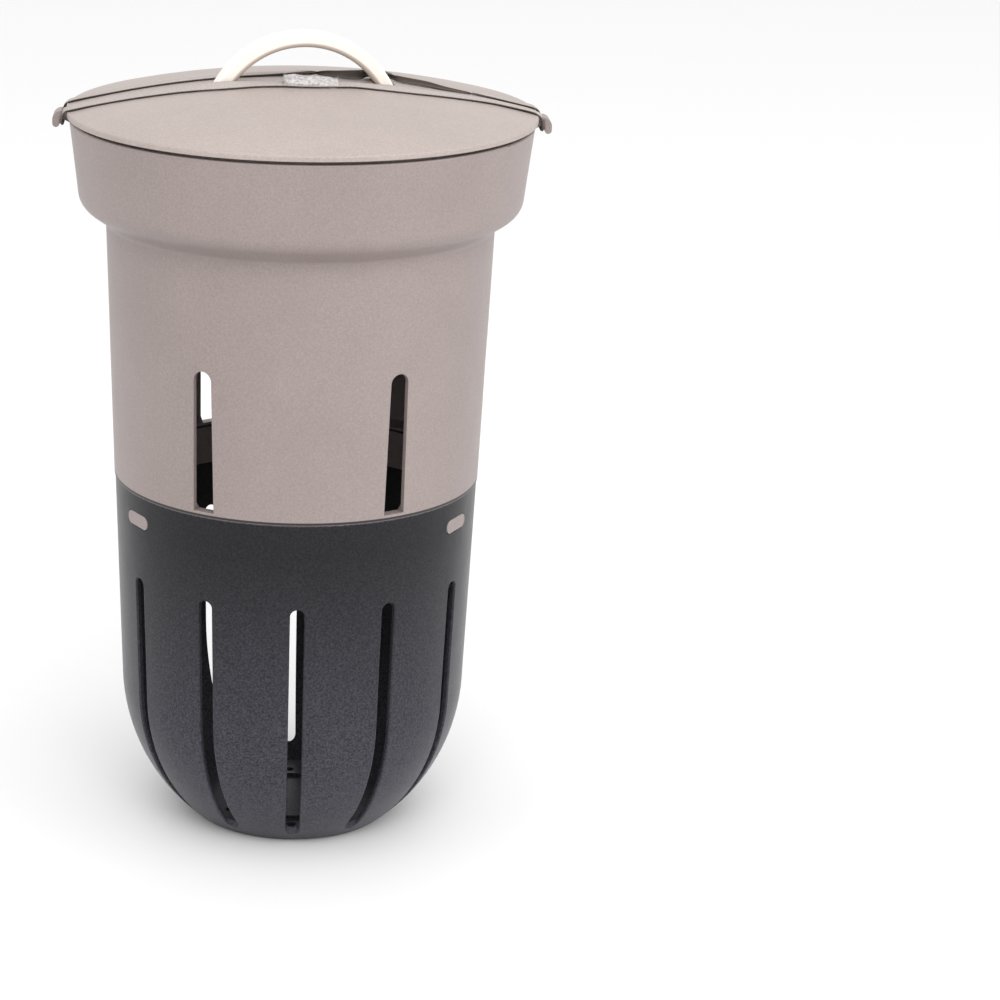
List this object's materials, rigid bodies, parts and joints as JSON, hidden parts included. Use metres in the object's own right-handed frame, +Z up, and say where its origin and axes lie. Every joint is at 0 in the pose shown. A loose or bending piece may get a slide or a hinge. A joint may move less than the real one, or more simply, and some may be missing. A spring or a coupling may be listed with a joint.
{
  "type": "wormery",
  "caption": "In-ground wormery: slotted bowl-bottomed basket, slotted body with flared collar, and a domed lid with bent wood handle, held by an elastic band over hooks on the rim.",
  "frame": {"origin": "middle of the flat floor, on the ground", "axes": "+Z up along the axis of the body, -Y towards the pictured front, +X to the right in the picture through one of the two hooks"},
  "size_m": [0.2946, 0.2786, 0.4891],
  "materials": {
    "anthracite_plastic": "fine moulded satin",
    "taupe_plastic": "fine moulded satin",
    "lid_plastic": "fine moulded satin",
    "light_wood": "sanded and unvarnished",
    "screw_steel": "zinc plated",
    "elastic_web": "woven elastic",
    "join_fabric": "sewn web with short loose fibres"
  },
  "bodies": {
    "container": {"lower_basket": "anthracite_plastic", "upper_body": "taupe_plastic"},
    "lid": {"lid": "lid_plastic", "handle": "light_wood", "handle_screws": "screw_steel", "elastic_band": "elastic_web", "band_join": "join_fabric"}
  },
  "joints": [
    {"name": "lid_lift", "type": "slide", "parent": "container", "child": "lid", "axis": [0, 0, 1], "range_m": [0, 0.06], "deforming": ["elastic_band"]}
  ]
}
